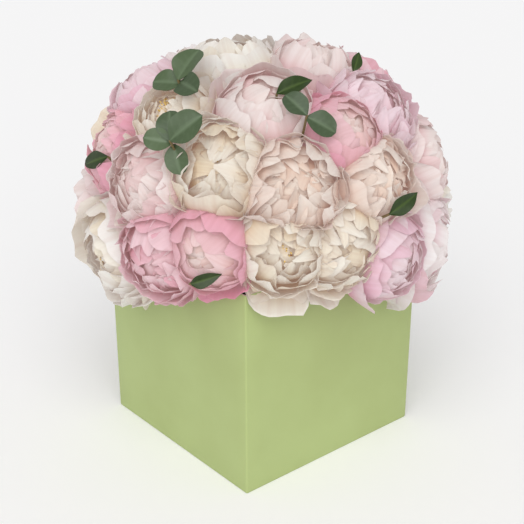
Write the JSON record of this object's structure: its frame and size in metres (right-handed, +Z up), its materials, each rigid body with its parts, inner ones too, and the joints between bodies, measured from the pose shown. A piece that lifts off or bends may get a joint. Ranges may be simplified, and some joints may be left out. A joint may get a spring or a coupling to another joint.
{
  "type": "flower box",
  "caption": "Square open card box packed with a round dome of full peonies and a few green leaves, set in wet foam in a lift-out liner tray.",
  "frame": {"origin": "middle of the underside of the box, on the surface it stands on", "axes": "+Z up, -Y out of the front wall, +X out of the right wall"},
  "size_m": [0.365, 0.3495, 0.4036],
  "materials": {
    "green_card": "satin",
    "kraft_card": "matte",
    "liner": "satin",
    "wet_foam": "matte",
    "petal_white": "matte",
    "petal_cream": "matte",
    "petal_blush": "matte",
    "petal_pink": "matte",
    "gum_leaf": "satin",
    "peony_leaf": "satin"
  },
  "bodies": {
    "carton": {"carton_front_wall": "green_card", "carton_back_wall": "green_card", "carton_left_wall": "green_card", "carton_right_wall": "green_card", "carton_glue_flap": "green_card", "carton_front_base_flap": "green_card", "carton_back_base_flap": "green_card", "carton_right_base_flap": "green_card", "carton_left_base_flap": "green_card", "riser_sleeve": "kraft_card"},
    "arrangement": {"liner_tray": "liner", "foam_brick_left": "wet_foam", "foam_brick_right": "wet_foam", "peony_rim_01": "petal_white", "peony_rim_02": "petal_pink", "peony_rim_03": "petal_pink", "peony_rim_04": "petal_cream", "peony_rim_05": "petal_cream", "peony_rim_06": "petal_pink", "peony_rim_07": "petal_white", "peony_rim_08": "petal_white", "peony_rim_09": "petal_blush", "peony_rim_10": "petal_cream", "peony_rim_11": "petal_blush", "peony_rim_12": "petal_pink", "peony_rim_13": "petal_blush", "peony_lower_01": "petal_blush", "peony_lower_02": "petal_cream", "peony_lower_03": "petal_blush", "peony_lower_04": "petal_blush", "peony_lower_05": "petal_blush", "peony_lower_06": "petal_blush", "peony_lower_07": "petal_pink", "peony_lower_08": "petal_cream", "peony_lower_09": "petal_blush", "peony_lower_10": "petal_white", "peony_lower_11": "petal_cream", "peony_upper_01": "petal_blush", "peony_upper_02": "petal_blush", "peony_upper_03": "petal_pink", "peony_upper_04": "petal_cream", "peony_upper_05": "petal_pink", "peony_upper_06": "petal_white", "peony_upper_07": "petal_blush", "peony_upper_08": "petal_blush", "peony_upper_09": "petal_pink", "peony_crown_01": "petal_white", "peony_crown_02": "petal_pink", "gum_sprig_upper_left": "gum_leaf", "gum_sprig_left": "gum_leaf", "gum_sprig_right": "gum_leaf", "gum_sprig_back": "gum_leaf", "peony_leaf_left": "peony_leaf", "peony_leaf_top": "peony_leaf", "peony_leaf_crown": "peony_leaf", "peony_leaf_right": "peony_leaf", "peony_leaf_front": "peony_leaf", "peony_leaf_back": "peony_leaf"}
  },
  "joints": [
    {"name": "lift_out", "type": "slide", "parent": "carton", "child": "arrangement", "axis": [0, 0, 1], "range_m": [0, 0.12]}
  ]
}
